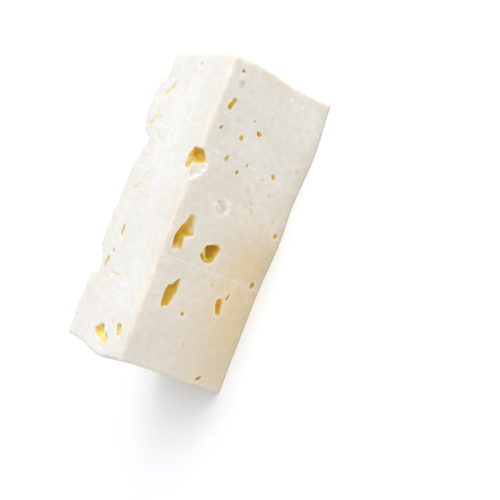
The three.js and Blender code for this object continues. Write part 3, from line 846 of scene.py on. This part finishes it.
def makeCheese():
    carved, whole = carveBar()
    print("bar carved:", len(carved.vertices), "vertices")
    flatValues = np.empty(len(carved.vertices) * 3)
    carved.vertices.foreach_get("co", flatValues)
    points = flatValues.reshape(-1, 3).copy()
    carved.vertices.foreach_get("normal", flatValues)
    normals = flatValues.reshape(-1, 3).copy()
    eyeDepth = depthInEyes(points, whole)
    eyeGoldAndPaintedLight = goldAndPaintedLightInEyes(carved, points, normals, eyeDepth)
    print("eyes measured, the deepest is", round(eyeDepth.max(), 1), "mm")
    below, goldenAndShaded, paleAndHighlight = fineRelief(points, normals, eyeDepth)
    beside = smoothed(carved, (eyeDepth > inEye["rim"]) * 1.0, rim["rounds"]) * (eyeDepth < inEye["rim"])
    below -= rim["height"] * ease(rim["steepness"] * beside)
    soft = np.stack([smoothed(carved, column, softening["rounds"]) for column in points.T], axis=1)
    share = ease((eyeDepth - softening["start"]) / softening["over"])[:, None]
    softer = points + share * (soft - points) + raggedShift(points, normals, eyeDepth) + wornEdges(points)
    shaped = swell(roughen(softer - normals * below[:, None]))
    low, high = (np.array(corner) / mm for corner in cadBox)
    shaped = np.clip(shaped, low + bar["boxGap"], high - bar["boxGap"]) * mm
    carved.vertices.foreach_set("co", shaped.ravel())
    palenessAndHighlight = np.clip(np.maximum(paleAndHighlight, rim["paleAndHighlight"] * beside), 0, 1)
    # gold carries painted shade and glow, paleness a painted highlight, and the warm tint painted bounce light
    # and shade
    attributes = {
        "goldAndPaintedLight": np.maximum(eyeGoldAndPaintedLight, goldenAndShaded),
        "paleAndHighlight": smoothed(carved, palenessAndHighlight, rim["paleRounds"]),
        "paintedBounce": paintedBounceShare(points),
    }
    for name, values in attributes.items():
        carved.attributes.new(name, "FLOAT", "POINT").data.foreach_set("value", values)
    draft = bpy.data.objects.new("draft", carved)
    scene.collection.objects.link(draft)
    thinner = draft.modifiers.new("thinner", "DECIMATE")
    thinner.ratio = bar["triangles"] / (2 * len(carved.polygons))
    finished = finishedMesh(draft)
    bpy.data.objects.remove(draft)
    finished.shade_smooth()
    cheese = bpy.data.objects.new("cheese", finished)
    scene.collection.objects.link(cheese)
    print("cheese finished:", len(finished.polygons), "faces")
    return cheese


def setInputs(tree, node, inputs):
    for name, value in inputs.items():
        if isinstance(value, bpy.types.NodeSocket):
            tree.links.new(value, node.inputs[name])
        else:
            node.inputs[name].default_value = value


def addNode(tree, kind, inputs=None, **settings):
    node = tree.nodes.new("ShaderNode" + kind)
    for name, value in settings.items():
        setattr(node, name, value)
    setInputs(tree, node, inputs or {})
    return node


def multiplied(tree, first, second):
    mixed = addNode(tree, "MixRGB", {"Fac": 1, "Color1": first, "Color2": second}, blend_type="MULTIPLY")
    return mixed.outputs[0]


def addRamp(tree, factor, stops):
    ramp = addNode(tree, "ValToRGB", {"Fac": factor})
    points = ramp.color_ramp.elements
    while len(points) < len(stops):
        points.new(0.5)
    for point, (position, colour) in zip(points, stops):
        point.position = position
        point.color = (*colour, 1)
    return ramp.outputs["Color"]


curd = {
    "cream": (0.87, 0.85, 0.815),
    "ivory": (0.80, 0.765, 0.71),
    "mottle": (0.15, 0.4),        # where the mottling is ivory, and from where on it is cream
    "snowAndHighlight": (0.93, 0.915, 0.89),  # ledges, crumbs, threads and the rims of the eyes: paler curd, with a painted highlight where they catch the light
    # the gold, darker towards the most hidden curd: partly the curd's own colour, partly painted shade
    "goldAndShadeStops": [
        (0.0, (1, 1, 1)), (0.2, (1, 0.96, 0.8)), (0.5, (1, 0.9, 0.5)), (0.8, (1, 0.84, 0.27)),
        (1.0, (1, 0.78, 0.16)),
    ],
    "paintedGoldGlow": 1.1,              # painted glow: how much lighter than the white the golden curd is painted, as if lit through
    # the tint of the painted warm bounce light and shade, warmer and a little darker
    "paintedBounceTint": (0.98, 0.85, 0.63),
    "textures": ((60, 3), (420, 4), (1600, 3)),    # scale and detail of the broad, small and fine ones
    "roughness": (0.42, 0.6),
    "roughOver": (0.3, 0.7),      # the values of the small texture that the roughness spans
    "bump": 0.5,                  # strength of the finest relief
    "grain": 0.08 * mm,           # its height from the small texture
    "tooth": 0.02 * mm,           # and from the fine one
    "finish": {
        "Subsurface Weight": 0.8, "Subsurface Radius": (1.0, 0.8, 0.56), "Subsurface Scale": 2.2 * mm,
        "IOR": 1.4, "Specular IOR Level": 0.4,
    },
}


def makeCurdMaterial():
    material = bpy.data.materials.new("curd")
    material.use_nodes = True
    tree = material.node_tree
    shader = tree.nodes["Principled BSDF"]
    where = addNode(tree, "TexCoord").outputs["Object"]
    broad, small, fine = (
        addNode(tree, "TexNoise", {"Vector": where, "Scale": scale, "Detail": detail}).outputs["Fac"]
        for scale, detail in curd["textures"]
    )
    mottle = addNode(tree, "Math", {0: broad, 1: small}, operation="MULTIPLY").outputs[0]
    base = addRamp(tree, mottle, list(zip(curd["mottle"], (curd["ivory"], curd["cream"]))))
    paleAndHighlight, paintedBounceFactor, goldAndPaintedLightFactor = (
        addNode(tree, "Attribute", attribute_name=name).outputs["Fac"] for name in ("paleAndHighlight", "paintedBounce", "goldAndPaintedLight")
    )
    # painted warm bounce light and shade on the front face
    paintedBounceColour = addRamp(tree, paintedBounceFactor, [(0, (1, 1, 1)), (1, curd["paintedBounceTint"])])
    # gold in the eyes, partly the curd's own colour and partly painted shade
    goldenAndShaded = addRamp(tree, goldAndPaintedLightFactor, curd["goldAndShadeStops"])
    # painted glow: the gold is lightened past white where it is fullest
    paintedGlow = addNode(tree, "MapRange", {"Value": goldAndPaintedLightFactor, "To Min": 1, "To Max": curd["paintedGoldGlow"]}).outputs[0]
    paintedGlowGold = addNode(tree, "VectorMath", {0: goldenAndShaded, "Scale": paintedGlow}, operation="SCALE").outputs[0]
    bounceTinted = multiplied(tree, base, paintedBounceColour)
    # paleness: paler curd with a painted highlight on rims, ledges, crumbs and threads
    snowyAndHighlighted = addNode(tree, "MixRGB", {"Fac": paleAndHighlight, "Color1": bounceTinted, "Color2": (*curd["snowAndHighlight"], 1)})
    (low, high), (least, most) = curd["roughness"], curd["roughOver"]
    rough = addNode(
        tree, "MapRange", {"Value": small, "From Min": least, "From Max": most, "To Min": low, "To Max": high}
    )
    grain, tooth = (
        addNode(tree, "Bump", {"Height": height, "Distance": curd[name], "Strength": curd["bump"]})
        for name, height in (("grain", small), ("tooth", fine))
    )
    tree.links.new(grain.outputs[0], tooth.inputs["Normal"])
    setInputs(tree, shader, curd["finish"])
    setInputs(tree, shader, {
        "Base Color": multiplied(tree, snowyAndHighlighted.outputs[0], paintedGlowGold),
        "Roughness": rough.outputs[0],
        "Normal": tooth.outputs[0],
    })
    return material


camera = {
    "place": (-16.3, -474.4, 301.0),    # millimetres from the bar's origin
    "look": (0.0239, 0.8396, -0.5426),
    "roll": 68,                         # degrees; the bar runs up the picture
    "lens": 110,
    "nearest": 10 * mm,                 # nothing nearer than this is drawn
}


def makeCamera():
    data = bpy.data.cameras.new("camera")
    data.lens = camera["lens"]
    data.clip_start = camera["nearest"]
    made = bpy.data.objects.new("camera", data)
    scene.collection.objects.link(made)
    turn = Vector(camera["look"]).to_track_quat("-Z", "Y").to_matrix().to_4x4()
    roll = Matrix.Rotation(-math.radians(camera["roll"]), 4, "Z")
    made.matrix_world = Matrix.Translation(Vector(camera["place"]) * mm) @ turn @ roll
    scene.camera = made


studio = {
    "dome": (1.0, 0.94, 0.895), "domeStrength": 0.55,
    "key": (0.84, 0.93, 1.0), "keyPower": 14, "keySize": 1.4, "keyPlace": (0.5, -0.09, 1.05),
    "floorSize": 4,
    "floorFinish": {
        "Base Color": (0.95, 0.96, 0.97, 1), "Roughness": 0.9, "Specular IOR Level": 0.0,
        "Emission Color": (1, 1, 1, 1), "Emission Strength": 0.04,
    },
}


def makeStudio():
    world = bpy.data.worlds.new("studio")
    world.use_nodes = True
    background = world.node_tree.nodes["Background"]
    background.inputs["Color"].default_value = (*studio["dome"], 1)
    background.inputs["Strength"].default_value = studio["domeStrength"]
    scene.world = world
    light = bpy.data.lights.new("key", "AREA")
    light.size = studio["keySize"]
    light.energy = studio["keyPower"]
    light.color = studio["key"]
    lamp = bpy.data.objects.new("key", light)
    scene.collection.objects.link(lamp)
    lamp.location = studio["keyPlace"]
    lamp.rotation_euler = (-Vector(studio["keyPlace"])).to_track_quat("-Z", "Y").to_euler()
    bm = bmesh.new()
    bmesh.ops.create_grid(bm, x_segments=1, y_segments=1, size=studio["floorSize"] / 2)
    floor = newObject("floor", bm)
    material = bpy.data.materials.new("floor")
    material.use_nodes = True
    tree = material.node_tree
    setInputs(tree, tree.nodes["Principled BSDF"], studio["floorFinish"])
    floor.data.materials.append(material)
    scene.view_settings.view_transform = "Standard"


makeCamera()
makeStudio()
print("camera and light ready")
cheese = makeCheese()
cheese.data.materials.clear()
cheese.data.materials.append(makeCurdMaterial())
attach(cheese, "root")
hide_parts("cheese_block")
